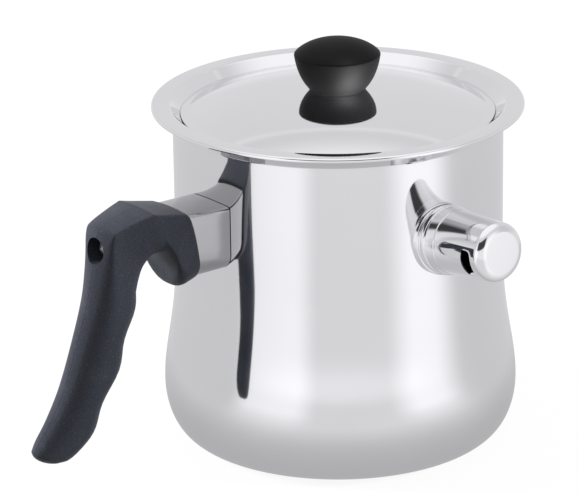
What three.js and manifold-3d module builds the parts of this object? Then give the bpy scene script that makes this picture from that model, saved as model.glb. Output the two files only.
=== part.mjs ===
// A double-walled simmering pot: a bellied outer vessel, an inner vessel hung in it by the rim, a filler neck
// closed by a push-on whistle, a domed lid with a knob, and a moulded handle behind a polished flame guard.
// Millimetres, +Z up. The origin is the centre of the base, and the handle points along -X.
import * as THREE from "three";
import { mergeVertices } from "three/addons/utils/BufferGeometryUtils.js";
import Module from "manifold-3d";

const wasm = await Module();
wasm.setup();

// Sheet, gaps and facets
const sheet = 0.8;
const clearance = 0.3;
const vesselSides = 44;
const smallSides = 28;
const curveSteps = 5;
const crownSteps = 8;
const cornerSteps = 4;

// Outer vessel, with each radius measured from the straight upper wall
const potHeight = 148.2;
const wallRadius = 70.7;
const baseInset = 7.7;
const bellyBulge = 6;
const bellyHeight = 23;
const shoulderHeight = 86;
const flareRadius = 6;
const rimReach = 9;
const hemDepth = 1.5;

// How far each handle of the vessel's two wall curves reaches along its own run
const baseEase = 0.62;
const cornerEase = 0.52;
const bellyEase = 0.27;
const shoulderEase = 0.54;

// Inner vessel
const jacketGap = 5.4;
const floorHeight = 12;
const floorCorner = 12;
const seatWidth = 2.7;
const seatDepth = 5;
const rimRingWidth = 7.4;

// Lid and knob
const lidPlay = 0.8;
const lidRise = 8.7;
const lidBrim = 2.9;
const knobPadRadius = 12;
const knobFootRadius = 11.2;
const knobRadius = 18.5;
const knobSideHeight = 15.8;
const knobHeight = 22.2;
const knobCheek = 1.5;
const knobCheekHeight = 5.1;
const knobCrownIn = 2;
const knobCrownSide = 2.4;
const knobCrownReach = 10.5;
const insertRadius = 4;
const insertLength = 10;
const knobScrewRadius = 2;
const knobScrewHeadRadius = 4.2;
const knobScrewHeadHeight = 2.4;
const knobWasherRadius = 5.5;
const knobWasherThickness = 0.8;

// Filler neck, placed by its angle round the pot and its drop from the rim
const neckAngle = THREE.MathUtils.degToRad(268);
const neckTilt = THREE.MathUtils.degToRad(6.1);
const neckDrop = 43.3;
const neckBoreRadius = 9.6;
const neckLength = 18;
const neckInside = 3;
const neckRingRadius = 15.2;
const neckRingHeight = 2.4;

// Whistle
const capSheet = 0.7;
const capLength = 35;
const capRingRadius = 14.8;
const capRingHeight = 1.8;
const capRootRadius = 14;
const capEndRadius = 12.5;
const capEndRound = 3.5;
const sealLength = 12;
const jetDiscHeight = 19.4;
const jetDiscThickness = 0.8;
const jetSlitWidth = 8;
const jetSlitHeight = 1.4;
const louvreHeight = 24.6;
const louvreLength = 11.5;
const louvreWidth = 4;
const louvreTongue = 5;
const louvreSlope = THREE.MathUtils.degToRad(35);
const louvreTurn = THREE.MathUtils.degToRad(15);

// Flame guard and the bracket inside it: x runs out from the wall, heights are from the handle screw
const handleDrop = 37;
const guardSheet = 1.2;
const wallSection = { half: 12.6, top: 8.7, bottom: -20.4, crown: 0.9, corner: 7 };
const bracketPlay = 0.9;
const bracketLength = 9.5;
const bracketSheet = 1.6;
const bracketWeb = 2;

// Grip: each station joins a point on the inner rail to one on the outer rail. Points are shares of the grip's
// reach out from the wall and of its drop from the screw, the rest are shares of its half width at the collar.
const gripReach = 94.7;
const gripDrop = 87.3;
const gripHalf = 12.9;
const collarStep = 0.9;
const gripShares = [
  { inner: [0.153, -0.25], outer: [0.213, 0.12], half: 1, crown: 0.09, corner: 0.54 },
  { inner: [0.243, -0.257], outer: [0.285, 0.137], half: 1, crown: 0.09, corner: 0.54 },
  { inner: [0.27, -0.166], outer: [0.351, 0.153], half: 0.98, crown: 0.09, corner: 0.54 },
  { inner: [0.322, -0.076], outer: [0.404, 0.167], half: 0.96, crown: 0.09, corner: 0.54 },
  { inner: [0.375, -0.071], outer: [0.475, 0.151], half: 0.88, crown: 0.1, corner: 0.54 },
  { inner: [0.416, -0.114], outer: [0.579, 0.119], half: 0.77, crown: 0.12, corner: 0.54 },
  { inner: [0.434, -0.153], outer: [0.622, 0.076], half: 0.74, crown: 0.17, corner: 0.54 },
  { inner: [0.45, -0.206], outer: [0.642, -0.04], half: 0.74, crown: 0.23, corner: 0.54 },
  { inner: [0.477, -0.312], outer: [0.681, -0.237], half: 0.78, crown: 0.33, corner: 0.54 },
  { inner: [0.544, -0.521], outer: [0.748, -0.444], half: 0.8, crown: 0.39, corner: 0.54 },
  { inner: [0.648, -0.739], outer: [0.826, -0.652], half: 0.78, crown: 0.39, corner: 0.54 },
  { inner: [0.74, -0.898], outer: [0.907, -0.798], half: 0.71, crown: 0.36, corner: 0.47 },
  { inner: [0.834, -0.982], outer: [0.968, -0.88], half: 0.59, crown: 0.3, corner: 0.39 },
  { inner: [0.918, -1], outer: [1, -0.936], half: 0.35, crown: 0.19, corner: 0.23 },
];
const gripSteps = 3;
const fingerDepth = 1.1;
const fingerPitch = 25;
const fingerStart = -20.8;

// Handle screw
const screwRadius = 2.5;
const screwHeadRadius = 4.3;
const screwHeadHeight = 3;
const screwSeatShare = 0.54;
const screwWellRadius = 5.5;
const washerRadius = 5;
const washerThickness = 1;
const nutRadius = 4.6;
const nutThickness = 4;

// Heights and radii that follow from the sizes above
const lipRadius = wallRadius + rimReach;
const bellyRadius = wallRadius + bellyBulge;
const baseRadius = wallRadius - baseInset;
const flangeUnder = potHeight - 2 * sheet;
const hemInnerRadius = lipRadius - sheet;
const innerRadius = wallRadius - sheet - jacketGap;
const seatRadius = innerRadius + seatWidth;
const seatHeight = potHeight - seatDepth;
const lidRadius = seatRadius - lidPlay;
const lidUnder = seatHeight + clearance + lidRise;
const knobBase = lidUnder + sheet;
const neckRadius = neckBoreRadius + sheet;
const capBase = neckRingHeight + clearance;
const capEnd = capBase + capLength;
const neckHeight = potHeight - neckDrop;
const screwHeight = potHeight - handleDrop;
const screwSeat = screwSeatShare * gripReach;
const gripStations = gripShares.map(({ inner, outer, half, crown, corner }) => ({
  inner: [inner[0] * gripReach, inner[1] * gripDrop],
  outer: [outer[0] * gripReach, outer[1] * gripDrop],
  half: half * gripHalf,
  crown: crown * gripHalf,
  corner: corner * gripHalf,
}));
const collar = gripStations[0];

const steel = new THREE.MeshStandardMaterial({ color: 0xd9dade, metalness: 1, roughness: 0.12 });
const plainSteel = new THREE.MeshStandardMaterial({ color: 0xb4b6ba, metalness: 1, roughness: 0.35 });
const brass = new THREE.MeshStandardMaterial({ color: 0xc2a15a, metalness: 1, roughness: 0.35 });
const moulding = new THREE.MeshStandardMaterial({ color: 0x2b2f37, metalness: 0, roughness: 0.6 });
const silicone = new THREE.MeshStandardMaterial({ color: 0x46484c, metalness: 0, roughness: 0.8 });

// Solids: geometry in, joined or cut, geometry out

function solidOf(geometry) {
  const bare = new THREE.BufferGeometry();
  bare.setAttribute("position", geometry.getAttribute("position"));
  bare.setIndex(geometry.index);
  const merged = mergeVertices(bare, 1e-4);
  const corners = merged.index.array;
  const triVerts = [];
  for (let i = 0; i < corners.length; i += 3) {
    const [a, b, c] = corners.slice(i, i + 3);
    if (a !== b && b !== c && c !== a) triVerts.push(a, b, c);
  }
  const vertProperties = merged.getAttribute("position").array;
  return new wasm.Manifold(new wasm.Mesh({ numProp: 3, vertProperties, triVerts: new Uint32Array(triVerts) }));
}

function meshOf(name, solid, material) {
  const { vertProperties, triVerts } = solid.getMesh();
  const geometry = new THREE.BufferGeometry();
  geometry.setAttribute("position", new THREE.BufferAttribute(vertProperties, 3));
  geometry.setIndex(new THREE.BufferAttribute(triVerts, 1));
  geometry.computeVertexNormals();
  const mesh = new THREE.Mesh(geometry, material);
  mesh.name = name;
  return mesh;
}

// A closed profile of (radius, height) points turned round the Z axis.
function revolve(profile, sides) {
  const points = THREE.ShapeUtils.area(profile) < 0 ? [...profile].reverse() : profile;
  return new THREE.LatheGeometry(points, sides).rotateX(Math.PI / 2);
}

// A closed profile from corner pairs, for rings that don't reach the axis.
function ring(corners, sides = smallSides) {
  const points = corners.map(([radius, height]) => new THREE.Vector2(radius, height));
  return revolve([...points, points[0].clone()], sides);
}

// A round bar along Z, from one height to another.
function bar(radius, low, high, sides = smallSides) {
  return new THREE.CylinderGeometry(radius, radius, high - low, sides)
    .rotateX(Math.PI / 2)
    .translate(0, 0, (low + high) / 2);
}

// The same bar along X.
function rod(radius, near, far, sides = smallSides) {
  return bar(radius, near, far, sides).rotateY(Math.PI / 2);
}

// A line moved sideways to its left, with mitred corners.
function offsetLine(points, distance) {
  const normals = points.slice(1).map((point, i) => {
    const along = point.clone().sub(points[i]).normalize();
    return new THREE.Vector2(-along.y, along.x);
  });
  return points.map((point, i) => {
    const before = normals[Math.max(i - 1, 0)];
    const after = normals[Math.min(i, normals.length - 1)];
    const mitre = before.clone().add(after).normalize();
    return point.clone().addScaledVector(mitre, distance / mitre.dot(after));
  });
}

// A pressed sheet: the path is its outer face, and its other face lies to the left of the path.
function pressed(path, thickness, sides) {
  const outer = path.getPoints(curveSteps);
  const inner = offsetLine(outer, thickness).reverse();
  return revolve([...outer, ...inner, outer[0].clone()], sides);
}

// A loft through rings of equally many points, closed by a fan over each end.
function loft(rings) {
  const count = rings[0].length;
  const centre = (points) =>
    points.reduce((sum, point) => sum.add(point), new THREE.Vector3()).divideScalar(count);
  const points = [...rings.flat(), centre(rings[0]), centre(rings.at(-1))];
  const last = (rings.length - 1) * count;
  const index = [];
  for (let i = 0; i < count; i++) {
    const next = (i + 1) % count;
    for (let low = 0; low < last; low += count) {
      const high = low + count;
      index.push(low + i, low + next, high + next, low + i, high + next, high + i);
    }
    index.push(points.length - 2, next, i, points.length - 1, last + i, last + next);
  }
  return new THREE.BufferGeometry().setFromPoints(points).setIndex(index);
}

// One handle section between a low and a high point of the XZ plane: a crowned top between two ridges,
// flat flanks and round lower corners.
function section({ inner, outer, half, crown, corner }) {
  const up = new THREE.Vector2(outer[0] - inner[0], outer[1] - inner[1]);
  const height = up.length();
  up.normalize();
  const place = (across, rise) =>
    new THREE.Vector3(inner[0] + up.x * rise, across, inner[1] + up.y * rise);
  const points = [];
  for (let i = 0; i <= crownSteps; i++) {
    const share = 1 - (2 * i) / crownSteps;
    points.push(place(half * share, height - crown * share ** 2));
  }
  for (const side of [-1, 1]) {
    for (let i = 0; i <= cornerSteps; i++) {
      const turn = ((side < 0 ? i : cornerSteps - i) / cornerSteps) * (Math.PI / 2);
      const across = half - corner + corner * Math.cos(turn);
      points.push(place(side * across, corner - corner * Math.sin(turn)));
    }
  }
  return points;
}

// A section between two others, or a little past either of them.
function blend(from, to, share) {
  const mix = (a, b) => a + (b - a) * share;
  const mixPair = (a, b) => [mix(a[0], b[0]), mix(a[1], b[1])];
  return {
    inner: mixPair(from.inner, to.inner),
    outer: mixPair(from.outer, to.outer),
    half: mix(from.half, to.half),
    crown: mix(from.crown, to.crown),
    corner: mix(from.corner, to.corner),
  };
}

// A section drawn in by a wall thickness.
function inset(from, thickness) {
  const up = new THREE.Vector2(from.outer[0] - from.inner[0], from.outer[1] - from.inner[1])
    .normalize()
    .multiplyScalar(thickness);
  return {
    inner: [from.inner[0] + up.x, from.inner[1] + up.y],
    outer: [from.outer[0] - up.x, from.outer[1] - up.y],
    half: from.half - thickness,
    crown: from.crown,
    corner: from.corner - thickness,
  };
}

// An upright section at a distance from the wall.
function upright({ half, top, bottom, crown, corner }, x) {
  return { inner: [x, bottom], outer: [x, top], half, crown, corner };
}

// Vessels

function outerPath() {
  const rise = shoulderHeight - bellyHeight;
  const path = new THREE.Path();
  path.moveTo(0, 0);
  path.lineTo(baseRadius, 0);
  path.bezierCurveTo(
    baseRadius + baseEase * (bellyRadius - baseRadius), 0,
    bellyRadius, (1 - cornerEase) * bellyHeight,
    bellyRadius, bellyHeight,
  );
  path.bezierCurveTo(
    bellyRadius, bellyHeight + bellyEase * rise,
    wallRadius, shoulderHeight - shoulderEase * rise,
    wallRadius, shoulderHeight,
  );
  path.lineTo(wallRadius, flangeUnder - flareRadius);
  path.quadraticCurveTo(wallRadius, flangeUnder, wallRadius + flareRadius, flangeUnder);
  path.lineTo(hemInnerRadius - clearance, flangeUnder);
  return path;
}

function innerPath() {
  const path = new THREE.Path();
  path.moveTo(0, floorHeight);
  path.lineTo(innerRadius - floorCorner, floorHeight);
  path.quadraticCurveTo(innerRadius, floorHeight, innerRadius, floorHeight + floorCorner);
  path.lineTo(innerRadius, seatHeight - sheet);
  path.lineTo(seatRadius, seatHeight - sheet);
  path.lineTo(lipRadius - rimRingWidth, potHeight - sheet);
  path.lineTo(hemInnerRadius, potHeight - sheet);
  path.lineTo(hemInnerRadius, potHeight - sheet - hemDepth);
  return path;
}

// Everything inside the outer face of the pot and a clearance round it, to trim what is welded on.
function wallTrim() {
  const face = offsetLine(outerPath().getPoints(curveSteps), -clearance);
  return revolve([...face, new THREE.Vector2(0, face.at(-1).y)], vesselSides);
}

const neckFrame = new THREE.Group();
neckFrame.position.set(wallRadius * Math.cos(neckAngle), wallRadius * Math.sin(neckAngle), neckHeight);
neckFrame.rotation.set(0, Math.PI / 2 - neckTilt, neckAngle, "ZYX");
neckFrame.updateMatrix();

const handleFrame = new THREE.Group();
handleFrame.position.set(-wallRadius, 0, screwHeight);
handleFrame.rotation.z = Math.PI;
handleFrame.updateMatrix();

function outerVessel() {
  const shell = solidOf(pressed(outerPath(), sheet, vesselSides));
  const hole = bar(neckRadius + clearance, -2 * jacketGap, 2 * jacketGap).applyMatrix4(neckFrame.matrix);
  return meshOf("outer_vessel", shell.subtract(solidOf(hole)), steel);
}

function innerVessel() {
  return meshOf("inner_vessel", solidOf(pressed(innerPath(), sheet, vesselSides)), steel);
}

// Lid

function lidPlate() {
  const path = new THREE.Path();
  path.moveTo(knobScrewRadius + clearance, lidUnder);
  path.lineTo(knobPadRadius, lidUnder);
  const brimStart = lidRadius - lidBrim;
  path.quadraticCurveTo((knobPadRadius + brimStart) / 2, lidUnder, brimStart, lidUnder - lidRise);
  path.lineTo(lidRadius, lidUnder - lidRise);
  return meshOf("lid_plate", solidOf(pressed(path, sheet, vesselSides)), steel);
}

function lidKnob() {
  const path = new THREE.Path();
  const boreTop = knobBase + insertLength + clearance;
  const side = knobBase + knobSideHeight;
  path.moveTo(0, boreTop);
  path.lineTo(insertRadius + clearance, boreTop);
  path.lineTo(insertRadius + clearance, knobBase);
  path.lineTo(knobFootRadius, knobBase);
  path.quadraticCurveTo(knobRadius - knobCheek, knobBase + knobCheekHeight, knobRadius, side);
  path.bezierCurveTo(
    knobRadius - knobCrownIn, side + knobCrownSide,
    knobCrownReach, knobBase + knobHeight,
    0, knobBase + knobHeight,
  );
  return meshOf("lid_knob", solidOf(revolve(path.getPoints(curveSteps), smallSides)), moulding);
}

function knobInsert() {
  const bore = knobScrewRadius + clearance;
  const top = knobBase + insertLength;
  const corners = [[bore, knobBase], [insertRadius, knobBase], [insertRadius, top], [bore, top]];
  return meshOf("knob_insert", solidOf(ring(corners)), brass);
}

function knobWasher() {
  const bore = knobScrewRadius + clearance;
  const low = lidUnder - knobWasherThickness;
  const corners = [[bore, low], [knobWasherRadius, low], [knobWasherRadius, lidUnder], [bore, lidUnder]];
  return meshOf("knob_washer", solidOf(ring(corners)), plainSteel);
}

function knobScrew() {
  const headTop = lidUnder - knobWasherThickness;
  const tip = knobBase + insertLength - knobScrewRadius;
  const head = solidOf(bar(knobScrewHeadRadius, headTop - knobScrewHeadHeight, headTop));
  const shank = solidOf(bar(knobScrewRadius, headTop - knobScrewHeadHeight / 2, tip));
  return meshOf("knob_screw", head.add(shank), plainSteel);
}

// Filler neck and whistle, in the frame of the neck: +Z runs out along its axis from the wall

function fillerNeck() {
  const tube = ring([
    [neckBoreRadius, -neckInside],
    [neckRadius, -neckInside],
    [neckRadius, neckLength],
    [neckBoreRadius, neckLength],
  ]);
  return meshOf("filler_neck", solidOf(tube), steel);
}

function neckCollar() {
  const bore = neckRadius + clearance;
  const foot = ring([
    [bore, -jacketGap],
    [neckRingRadius, -jacketGap],
    [neckRingRadius, neckRingHeight],
    [bore, neckRingHeight],
  ]);
  const trim = wallTrim().applyMatrix4(neckFrame.matrix.clone().invert());
  return meshOf("neck_collar", solidOf(foot).subtract(solidOf(trim)), steel);
}

function capRadiusAt(height) {
  const share = (height - capBase) / (capEnd - capEndRound - capBase);
  return THREE.MathUtils.lerp(capRootRadius, capEndRadius, share);
}

function whistleCap() {
  const path = new THREE.Path();
  const ringTop = capBase + capRingHeight;
  path.moveTo(capRingRadius, capBase);
  path.lineTo(capRingRadius, ringTop);
  path.lineTo(capRadiusAt(ringTop), ringTop + capRingRadius - capRootRadius);
  path.lineTo(capEndRadius, capEnd - capEndRound);
  path.quadraticCurveTo(capEndRadius, capEnd, capEndRadius - capEndRound, capEnd);
  path.lineTo(0, capEnd);
  const shell = solidOf(pressed(path, capSheet, smallSides));
  const mouth = capBase + louvreHeight;
  const face = capRadiusAt(mouth);
  const slot = new THREE.BoxGeometry(louvreLength, face, louvreWidth)
    .translate(0, -face, mouth)
    .rotateZ(louvreTurn);
  const tongue = new THREE.BoxGeometry(louvreLength - 2 * clearance, capSheet, louvreTongue)
    .translate(0, 0, -louvreTongue / 2 + capSheet)
    .rotateX(louvreSlope)
    .translate(0, -face + capSheet, mouth + louvreWidth / 2)
    .rotateZ(louvreTurn);
  return meshOf("whistle_cap", shell.subtract(solidOf(slot)).add(solidOf(tongue)), steel);
}

function whistleSeal() {
  const low = capBase + capRingHeight + capRingRadius - capRootRadius;
  const high = low + sealLength;
  const bore = neckRadius + clearance;
  const gap = capSheet + clearance;
  const corners = [[bore, low], [capRadiusAt(low) - gap, low], [capRadiusAt(high) - gap, high], [bore, high]];
  return meshOf("whistle_seal", solidOf(ring(corners)), silicone);
}

function whistleJetDisc() {
  const low = capBase + jetDiscHeight;
  const radius = capRadiusAt(low + jetDiscThickness) - capSheet - clearance;
  const disc = solidOf(bar(radius, low, low + jetDiscThickness));
  const slit = new THREE.BoxGeometry(jetSlitWidth, jetSlitHeight, 4 * jetDiscThickness)
    .translate(0, -radius + 2 * jetSlitHeight, low)
    .rotateZ(louvreTurn);
  return meshOf("whistle_jet_disc", disc.subtract(solidOf(slit)), plainSteel);
}

// Handle, in its own frame: +X runs out from the wall, and the screw lies on the X axis

function handleTrim() {
  return solidOf(wallTrim().applyMatrix4(handleFrame.matrix.clone().invert()));
}

// A straight run of the bracket's shape, drawn in from the guard that slips over it.
function bracketRun(depth, near, far) {
  const drawn = guardSheet + bracketPlay + depth;
  return solidOf(loft([near, far].map((x) => section(inset(upright(wallSection, x), drawn)))));
}

function handleBracket() {
  const block = bracketRun(0, -bracketLength, bracketLength);
  const hollow = bracketRun(bracketSheet, -2 * bracketLength, bracketLength - bracketWeb);
  const bore = solidOf(rod(screwRadius + clearance, 0, 2 * bracketLength));
  return meshOf("handle_bracket", block.subtract(handleTrim()).subtract(hollow).subtract(bore), steel);
}

function bracketNut() {
  const face = bracketLength - bracketWeb - clearance;
  const nut = solidOf(rod(nutRadius, face - nutThickness, face, 6));
  const thread = rod(screwRadius + clearance, -bracketLength, 2 * bracketLength);
  return meshOf("bracket_nut", nut.subtract(solidOf(thread)), plainSteel);
}

function flameGuard() {
  const foot = upright(wallSection, 0);
  const end = inset(collar, collarStep);
  end.inner[0] -= clearance;
  end.outer[0] -= clearance;
  const past = 0.2;
  const sleeve = solidOf(loft([section(blend(foot, end, -past)), section(end)]));
  const core = [blend(foot, end, -2 * past), blend(foot, end, 1 + past)].map((part) => inset(part, guardSheet));
  const guard = sleeve.subtract(handleTrim()).subtract(solidOf(loft(core.map(section))));
  return meshOf("flame_guard", guard, steel);
}

// The grip's sections: smooth curves through the stations, with finger waves along the inner rail.
function gripSections() {
  const curve = (pick) =>
    new THREE.CatmullRomCurve3(gripStations.map((at) => new THREE.Vector3(...pick(at))), false, "centripetal");
  const inner = curve((at) => [...at.inner, at.half]);
  const outer = curve((at) => [...at.outer, at.crown]);
  const corners = curve((at) => [at.corner, 0, 0]);
  const count = (gripStations.length - 1) * gripSteps;
  const sections = [];
  for (let i = 0; i <= count; i++) {
    const low = inner.getPoint(i / count);
    const high = outer.getPoint(i / count);
    const down = fingerStart - low.y;
    const wave = down > 0 && i < count ? fingerDepth * Math.sin((2 * Math.PI * down) / fingerPitch) : 0;
    sections.push({
      inner: [low.x - wave, low.y],
      outer: [high.x, high.y],
      half: low.z,
      crown: high.z,
      corner: corners.getPoint(i / count).x,
    });
  }
  return sections;
}

function handleGrip() {
  const body = solidOf(loft(gripSections().map(section)));
  const well = rod(screwWellRadius, screwSeat, 2 * screwSeat);
  const bore = rod(screwRadius + clearance, 0, 2 * screwSeat);
  return meshOf("handle_grip", body.subtract(solidOf(well)).subtract(solidOf(bore)), moulding);
}

function screwWasher() {
  const disc = solidOf(rod(washerRadius, screwSeat + clearance, screwSeat + clearance + washerThickness));
  const bore = rod(screwRadius + clearance, 0, 2 * screwSeat);
  return meshOf("screw_washer", disc.subtract(solidOf(bore)), plainSteel);
}

function handleScrew() {
  const seat = screwSeat + washerThickness + 2 * clearance;
  const head = solidOf(rod(screwHeadRadius, seat, seat + screwHeadHeight));
  const tip = bracketLength - bracketWeb - nutThickness;
  const shank = solidOf(rod(screwRadius, tip, seat + screwHeadHeight / 2));
  return meshOf("handle_screw", head.add(shank), plainSteel);
}

const pot = new THREE.Group();
pot.name = "simmering_pot";
pot.add(outerVessel(), innerVessel());
pot.add(lidPlate(), lidKnob(), knobInsert(), knobWasher(), knobScrew());
neckFrame.add(fillerNeck(), neckCollar(), whistleCap(), whistleSeal(), whistleJetDisc());
handleFrame.add(handleBracket(), bracketNut(), flameGuard(), handleGrip(), screwWasher(), handleScrew());
pot.add(neckFrame, handleFrame);

export default pot;
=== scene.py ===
import math

import bmesh
import bpy
from mathutils import Matrix, Quaternion, Vector


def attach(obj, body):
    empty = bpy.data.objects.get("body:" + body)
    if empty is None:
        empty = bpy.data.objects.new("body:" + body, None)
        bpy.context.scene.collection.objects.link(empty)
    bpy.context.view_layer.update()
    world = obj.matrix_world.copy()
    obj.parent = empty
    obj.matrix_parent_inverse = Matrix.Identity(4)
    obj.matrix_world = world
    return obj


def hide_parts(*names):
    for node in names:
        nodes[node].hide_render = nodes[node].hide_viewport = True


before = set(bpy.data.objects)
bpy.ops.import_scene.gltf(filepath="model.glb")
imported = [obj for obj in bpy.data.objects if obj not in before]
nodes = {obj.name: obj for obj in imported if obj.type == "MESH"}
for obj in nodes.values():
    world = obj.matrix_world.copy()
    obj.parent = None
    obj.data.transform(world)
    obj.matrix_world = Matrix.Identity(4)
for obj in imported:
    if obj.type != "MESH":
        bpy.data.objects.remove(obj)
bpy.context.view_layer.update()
scene = bpy.context.scene
mm = 0.001
sliver = 2e-6  # points nearer to each other than this, in metres, are one
crease = math.radians(38)  # sharper bends stay hard edges
print("frame loaded:", len(nodes), "nodes")


# shader and geometry trees

class Sock:  # one output in a node tree; sums on it add nodes
    def __init__(self, tree, out):
        self.tree = tree
        self.out = out

    def at(self, name):  # another output of the same node
        return Sock(self.tree, self.out.node.outputs[name])

    def maths(self, operation, *values):
        return self.tree.node("ShaderNodeMath", {"operation": operation}, dict(enumerate(values)))

    def __add__(self, other):
        return self.maths("ADD", self, other)

    def __radd__(self, other):
        return self.maths("ADD", other, self)

    def __sub__(self, other):
        return self.maths("SUBTRACT", self, other)

    def __rsub__(self, other):
        return self.maths("SUBTRACT", other, self)

    def __mul__(self, other):
        return self.maths("MULTIPLY", self, other)

    def __rmul__(self, other):
        return self.maths("MULTIPLY", other, self)

    def __truediv__(self, other):
        return self.maths("DIVIDE", self, other)

    def __pow__(self, other):
        return self.maths("POWER", self, other)

    def __gt__(self, other):
        return self.maths("GREATER_THAN", self, other)

    def __abs__(self):
        return self.maths("ABSOLUTE", self)


class NodeTree:
    def __init__(self, tree):
        self.tree = tree
        tree.nodes.clear()

    def node(self, kind, settings=None, inputs=None, output=0):
        made = self.tree.nodes.new(kind)
        for name, value in (settings or {}).items():
            setattr(made, name, value)
        for name, value in (inputs or {}).items():
            if isinstance(value, Sock):
                self.tree.links.new(value.out, made.inputs[name])
            else:
                made.inputs[name].default_value = value
        return Sock(self, made.outputs[output]) if made.outputs else made

    def noise(self, vector, scale, detail=2, roughness=0.5):
        inputs = {"Vector": vector, "Scale": scale, "Detail": detail, "Roughness": roughness}
        return self.node("ShaderNodeTexNoise", None, inputs, "Fac")

    def remap(self, value, low, high, toLow=0, toHigh=1):  # an eased step from low to high
        inputs = {"Value": value, "From Min": low, "From Max": high, "To Min": toLow, "To Max": toHigh}
        return self.node("ShaderNodeMapRange", {"interpolation_type": "SMOOTHSTEP"}, inputs, "Result")

    def window(self, value, centre, half, soft):  # 1 within half of the centre, with soft edges
        return self.remap(abs(value - centre), half - soft, half + soft, 1, 0)

    def mixColour(self, share, first, second):
        inputs = {"Factor": share, 6: first, 7: second}
        return self.node("ShaderNodeMix", {"data_type": "RGBA"}, inputs, 2)

    def mixShader(self, share, first, second):
        return self.node("ShaderNodeMixShader", None, {0: share, 1: first, 2: second})

    def dot(self, vector, other):
        inputs = {0: vector, 1: other}
        return self.node("ShaderNodeVectorMath", {"operation": "DOT_PRODUCT"}, inputs, "Value")

    def surface(self, height, strength, lift, inputs):  # a bumped surface at the material's output
        relief = {"Height": height, "Strength": strength, "Distance": lift}
        bump = self.node("ShaderNodeBump", None, relief, "Normal")
        skin = self.node("ShaderNodeBsdfPrincipled", None, {**inputs, "Normal": bump})
        self.node("ShaderNodeOutputMaterial", None, {"Surface": skin})


def newMaterial(name):
    material = bpy.data.materials.new(name)
    material.use_nodes = True
    shader = NodeTree(material.node_tree)
    return material, shader, shader.node("ShaderNodeTexCoord", output="Object")


# finishes

polished = {
    "tone": (0.83, 0.83, 0.842, 1), "haze": (0.79, 0.79, 0.806, 1),
    "roughness": 0.055, "spread": 0.03, "lines": 0.05, "metal": 1,
}
# the flame guard's steel, made darker than the polished steel: painted shade for its dimmer reflections
shadedGuardPolish = {
    "tone": (0.42, 0.42, 0.43, 1), "haze": (0.37, 0.37, 0.382, 1),
    "roughness": 0.11, "spread": 0.05, "lines": 0.05, "metal": 1,
}
satin = {
    "tone": (0.8, 0.8, 0.81, 1), "haze": (0.74, 0.74, 0.752, 1),
    "roughness": 0.26, "spread": 0.1, "lines": 0.3, "metal": 0.55,
}
# a near-black steel: painted shade for the hollow inside the whistle cap and the jet disc in it
paintedShade = {
    "tone": (0.1, 0.1, 0.105, 1), "haze": (0.06, 0.06, 0.065, 1),
    "roughness": 0.5, "spread": 0.15, "lines": 0.05, "metal": 1,
}
fastener = {
    "tone": (0.62, 0.63, 0.65, 1), "haze": (0.52, 0.53, 0.55, 1),
    "roughness": 0.3, "spread": 0.12, "lines": 0.2, "metal": 1,
}
insertBrass = {
    "tone": (0.72, 0.55, 0.26, 1), "haze": (0.6, 0.45, 0.2, 1),
    "roughness": 0.32, "spread": 0.12, "lines": 0.2, "metal": 1,
}
polishing = {"fine": 5200, "fineDetail": 1, "fineShare": 0.5, "cloud": 28, "cloudDetail": 3, "lift": 0.00001}
noiseMiddle = 0.5


def metalFinish(name, look):
    material, shader, spot = newMaterial(name)
    parts = shader.node("ShaderNodeSeparateXYZ", None, {0: spot})
    across, along, high = parts.at("X"), parts.at("Y"), parts.at("Z")
    radius = (across * across + along * along) ** 0.5
    turned = shader.node("ShaderNodeCombineXYZ", None, {"X": radius, "Y": high})
    cloud = shader.noise(spot, polishing["cloud"], polishing["cloudDetail"])
    lines = shader.noise(turned, polishing["fine"], polishing["fineDetail"])  # they run round the axis
    roughness = (
        look["roughness"]
        + look["spread"] * (cloud - noiseMiddle)
        + look["spread"] * polishing["fineShare"] * (lines - noiseMiddle)
    )
    shader.surface(lines, look["lines"], polishing["lift"], {
        "Base Color": shader.mixColour(cloud, look["tone"], look["haze"]),
        "Roughness": roughness,
        "Metallic": look["metal"],
    })
    return material


gripFinish = {
    "tone": (0.032, 0.036, 0.048, 1), "worn": (0.075, 0.082, 0.1, 1),
    "roughness": 0.42, "gloss": 0.2, "grain": 1500, "pits": 2600,
    "lift": 0.00014, "strength": 0.9, "seam": 0.00012,
}
knobFinish = {
    "tone": (0.0035, 0.0034, 0.0037, 1), "worn": (0.0065, 0.0063, 0.0066, 1),
    "roughness": 0.5, "gloss": 0.05, "grain": 1300, "pits": 2400,
    "lift": 0.00004, "strength": 0.35, "seam": 0,
}
mouldTexture = {  # for both mouldings: where each pattern shows, and its weights
    "cloud": 45, "cloudRange": (0.45, 0.75), "cloudRub": 0.4, "cloudRoughness": 0.08,
    "speck": 1.1, "speckDetail": 1, "speckRange": (0.62, 0.74), "speckRub": 0.6,
    "grainDetail": 3, "grainBite": 0.6, "grainRange": (0.5, 0.75), "grainRub": 0.5, "grainRoughness": 0.16,
    "grainHeight": 0.7, "pitHeight": 0.5, "seamHeight": 1.2, "seamFade": 2.5,
}


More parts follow.
